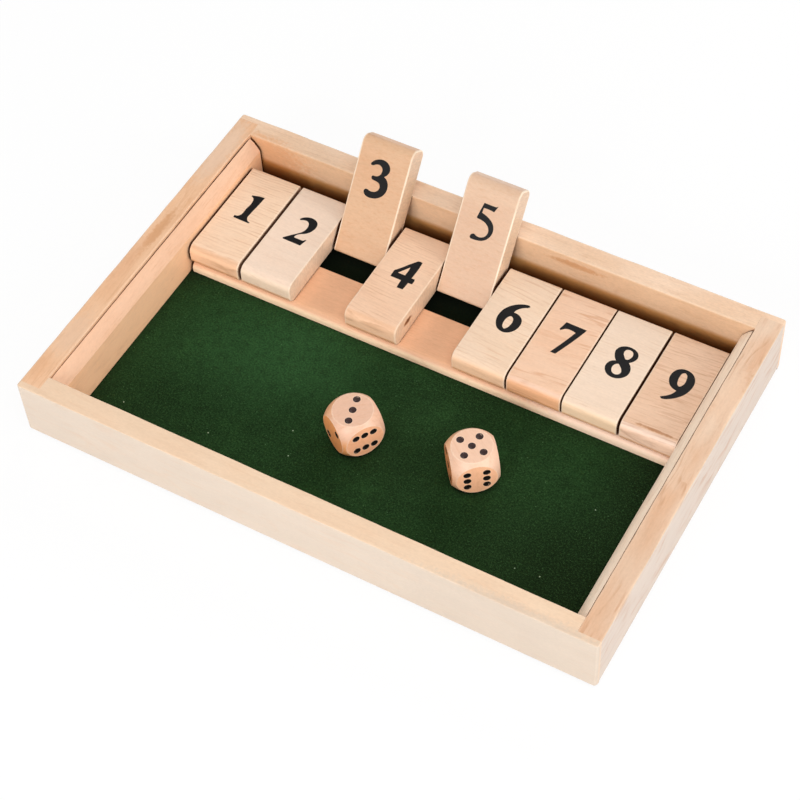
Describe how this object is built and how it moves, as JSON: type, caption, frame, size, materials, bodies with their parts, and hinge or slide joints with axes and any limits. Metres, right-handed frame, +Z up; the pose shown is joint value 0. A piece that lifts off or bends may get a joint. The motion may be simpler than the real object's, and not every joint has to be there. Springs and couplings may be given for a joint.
{
  "type": "shut the box game",
  "caption": "Flat wooden game tray with a felt-lined rolling well, a row of numbered flip-up tiles hinged on one hidden rod, and loose rounded dice.",
  "frame": {"origin": "centre of the tray's underside", "axes": "+X along the tray towards the ninth tile, +Y from the rolling well towards the tiles, +Z up"},
  "size_m": [0.215, 0.1443, 0.0421],
  "materials": {
    "wall_wood": "pale maple, sanded and clear lacquered",
    "side_wood": "warm maple, sanded and clear lacquered",
    "rail_wood": "warm maple, sanded",
    "strip_wood": "warm maple, sanded",
    "tile_wood": "pale maple, satin",
    "base_ply": "plywood, bare",
    "felt": "dark green felt",
    "rod_steel": "drawn bright",
    "dice_wood": "natural wood, lightly waxed",
    "ink": "printed numbers and painted pips, near black"
  },
  "bodies": {
    "tray": {"front_wall": "wall_wood", "back_wall": "wall_wood", "left_wall": "side_wood", "right_wall": "side_wood", "base_board": "base_ply", "felt": "felt", "left_rail": "rail_wood", "right_rail": "rail_wood", "rest_strip": "strip_wood", "pivot_rod": "rod_steel"},
    "tile_1": {"tile_1": "tile_wood"},
    "tile_2": {"tile_2": "tile_wood"},
    "tile_3": {"tile_3": "tile_wood"},
    "tile_4": {"tile_4": "tile_wood"},
    "tile_5": {"tile_5": "tile_wood"},
    "tile_6": {"tile_6": "tile_wood"},
    "tile_7": {"tile_7": "tile_wood"},
    "tile_8": {"tile_8": "tile_wood"},
    "tile_9": {"tile_9": "tile_wood"},
    "die_1": {"die_1": "dice_wood"},
    "die_2": {"die_2": "dice_wood"}
  },
  "joints": [
    {"name": "tile_1_hinge", "type": "hinge", "parent": "tray", "child": "tile_1", "pos_m": [0, 0.0487, 0.0114], "axis": [-1, 0, 0], "range_deg": [0, 126.5]},
    {"name": "tile_2_hinge", "type": "hinge", "parent": "tray", "child": "tile_2", "pos_m": [0, 0.0487, 0.0114], "axis": [-1, 0, 0], "range_deg": [0, 126.5]},
    {"name": "tile_3_hinge", "type": "hinge", "parent": "tray", "child": "tile_3", "pos_m": [0, 0.0487, 0.0114], "axis": [-1, 0, 0], "range_deg": [-126.5, 0]},
    {"name": "tile_4_hinge", "type": "hinge", "parent": "tray", "child": "tile_4", "pos_m": [0, 0.0487, 0.0114], "axis": [-1, 0, 0], "range_deg": [0, 126.5]},
    {"name": "tile_5_hinge", "type": "hinge", "parent": "tray", "child": "tile_5", "pos_m": [0, 0.0487, 0.0114], "axis": [-1, 0, 0], "range_deg": [-126.5, 0]},
    {"name": "tile_6_hinge", "type": "hinge", "parent": "tray", "child": "tile_6", "pos_m": [0, 0.0487, 0.0114], "axis": [-1, 0, 0], "range_deg": [0, 126.5]},
    {"name": "tile_7_hinge", "type": "hinge", "parent": "tray", "child": "tile_7", "pos_m": [0, 0.0487, 0.0114], "axis": [-1, 0, 0], "range_deg": [0, 126.5]},
    {"name": "tile_8_hinge", "type": "hinge", "parent": "tray", "child": "tile_8", "pos_m": [0, 0.0487, 0.0114], "axis": [-1, 0, 0], "range_deg": [0, 126.5]},
    {"name": "tile_9_hinge", "type": "hinge", "parent": "tray", "child": "tile_9", "pos_m": [0, 0.0487, 0.0114], "axis": [-1, 0, 0], "range_deg": [0, 126.5]},
    {"name": "die_1_lift", "type": "slide", "parent": "tray", "child": "die_1", "axis": [0, 0, 1], "range_m": [0, 0.05]},
    {"name": "die_2_lift", "type": "slide", "parent": "tray", "child": "die_2", "axis": [0, 0, 1], "range_m": [0, 0.05]}
  ]
}
